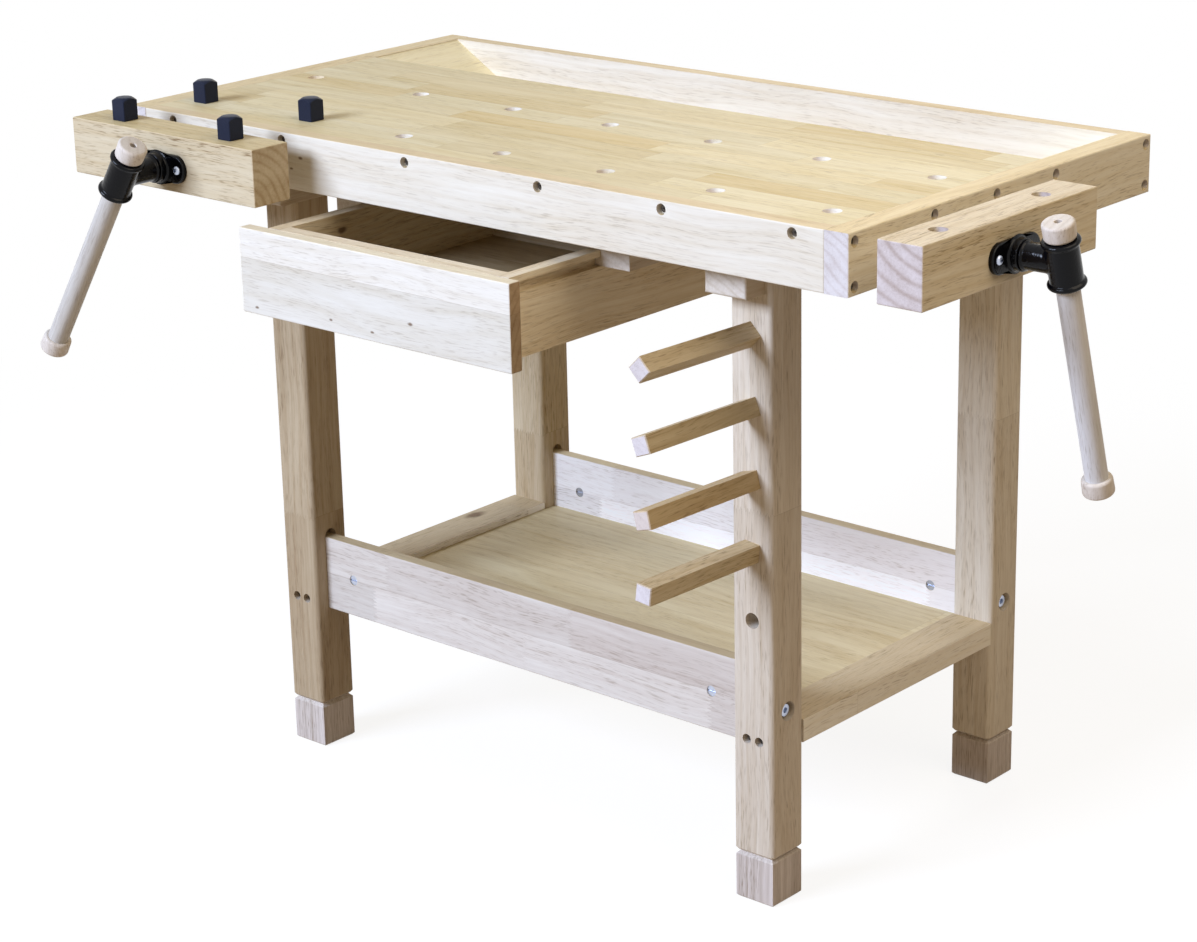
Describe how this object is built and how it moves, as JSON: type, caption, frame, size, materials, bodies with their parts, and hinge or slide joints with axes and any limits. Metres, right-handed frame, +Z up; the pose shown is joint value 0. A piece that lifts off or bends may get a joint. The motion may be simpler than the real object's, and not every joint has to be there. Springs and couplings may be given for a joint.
{
  "type": "children's workbench",
  "caption": "Child-height wooden workbench with a dog-hole top, tool tray, front and end vices, sliding drawer, lower shelf and tool pegs.",
  "frame": {"origin": "on the floor, in the middle of the four feet", "axes": "+X along the bench towards the end vice, +Y from the front apron to the tool tray, +Z up"},
  "size_m": [1.1617, 0.678, 0.778],
  "materials": {
    "rubberwood": "sanded and oiled",
    "turned_wood": "turned and sanded",
    "black_casting": "gloss black paint",
    "zinc_steel": "zinc plated",
    "dark_plastic": "moulded, satin"
  },
  "bodies": {
    "bench": {"front_apron": "rubberwood", "left_end_cap": "rubberwood", "right_end_cap": "rubberwood", "back_rail": "rubberwood", "panel_staves": "rubberwood", "front_hole_staves": "rubberwood", "rear_hole_staves": "rubberwood", "tray_floor": "rubberwood", "tray_front_wall": "rubberwood", "tray_ramps": "rubberwood", "front_left_leg": "rubberwood", "front_right_leg": "rubberwood", "rear_left_leg": "rubberwood", "rear_right_leg": "rubberwood", "foot_blocks": "rubberwood", "left_cross_rail": "rubberwood", "right_cross_rail": "rubberwood", "left_bearer": "rubberwood", "right_bearer": "rubberwood", "left_side_rail": "rubberwood", "right_side_rail": "rubberwood", "left_drawer_runner": "rubberwood", "right_drawer_runner": "rubberwood", "front_stretcher": "rubberwood", "rear_stretcher": "rubberwood", "shelf_panel": "rubberwood", "tool_pegs": "rubberwood", "front_vice_nut_block": "rubberwood", "end_vice_nut_block": "rubberwood", "apron_screws": "zinc_steel", "end_cap_screws": "zinc_steel", "stretcher_bolts": "zinc_steel", "barrel_nuts": "zinc_steel", "side_rail_screws": "zinc_steel"},
    "drawer": {"drawer_front": "rubberwood", "drawer_inner_front": "rubberwood", "drawer_left_side": "rubberwood", "drawer_right_side": "rubberwood", "drawer_back": "rubberwood", "drawer_bottom": "rubberwood"},
    "front_jaw": {"front_jaw": "rubberwood", "front_vice_flange": "black_casting", "front_vice_flange_screws": "zinc_steel", "front_vice_guide_rods": "zinc_steel"},
    "front_screw": {"front_vice_spindle": "zinc_steel", "front_vice_hub": "black_casting"},
    "front_handle": {"front_vice_handle": "turned_wood", "front_vice_handle_caps": "turned_wood"},
    "end_jaw": {"end_jaw": "rubberwood", "end_vice_flange": "black_casting", "end_vice_flange_screws": "zinc_steel", "end_vice_guide_rods": "zinc_steel"},
    "end_screw": {"end_vice_spindle": "zinc_steel", "end_vice_hub": "black_casting"},
    "end_handle": {"end_vice_handle": "turned_wood", "end_vice_handle_caps": "turned_wood"},
    "top_dog_1": {"top_bench_dog_1": "dark_plastic"},
    "top_dog_2": {"top_bench_dog_2": "dark_plastic"},
    "jaw_dog_1": {"jaw_bench_dog_1": "dark_plastic"},
    "jaw_dog_2": {"jaw_bench_dog_2": "dark_plastic"}
  },
  "joints": [
    {"name": "drawer_slide", "type": "slide", "parent": "bench", "child": "drawer", "axis": [0, -1, 0], "range_m": [-0.088, 0.14]},
    {"name": "front_jaw_slide", "type": "slide", "parent": "bench", "child": "front_jaw", "axis": [0, -1, 0], "range_m": [-0.0295, 0.0701]},
    {"name": "front_screw_turn", "type": "hinge", "parent": "front_jaw", "child": "front_screw", "pos_m": [-0.355, -0.425, 0.717], "axis": [0, -1, 0], "range_deg": [-1512, 3600]},
    {"name": "front_handle_slide", "type": "slide", "parent": "front_screw", "child": "front_handle", "axis": [0.5417, 0, 0.8406], "range_m": [0, 0.2124]},
    {"name": "end_jaw_slide", "type": "slide", "parent": "bench", "child": "end_jaw", "axis": [1, 0, 0], "range_m": [-0.0295, 0.0701]},
    {"name": "end_screw_turn", "type": "hinge", "parent": "end_jaw", "child": "end_screw", "pos_m": [0.637, -0.141, 0.717], "axis": [1, 0, 0], "range_deg": [-1512, 3600]},
    {"name": "end_handle_slide", "type": "slide", "parent": "end_screw", "child": "end_handle", "axis": [0, -0.289, 0.9573], "range_m": [0, 0.2124]},
    {"name": "top_dog_1_lift", "type": "slide", "parent": "bench", "child": "top_dog_1", "axis": [0, 0, 1], "range_m": [0, 0.046]},
    {"name": "top_dog_2_lift", "type": "slide", "parent": "bench", "child": "top_dog_2", "axis": [0, 0, 1], "range_m": [0, 0.046]},
    {"name": "jaw_dog_1_lift", "type": "slide", "parent": "front_jaw", "child": "jaw_dog_1", "axis": [0, 0, 1], "range_m": [0, 0.046]},
    {"name": "jaw_dog_2_lift", "type": "slide", "parent": "front_jaw", "child": "jaw_dog_2", "axis": [0, 0, 1], "range_m": [0, 0.046]}
  ],
  "couplings": [
    {"joint": "front_jaw_slide", "follows": "front_screw_turn", "m_per_rad": 0.0011141},
    {"joint": "end_jaw_slide", "follows": "end_screw_turn", "m_per_rad": 0.0011141}
  ]
}
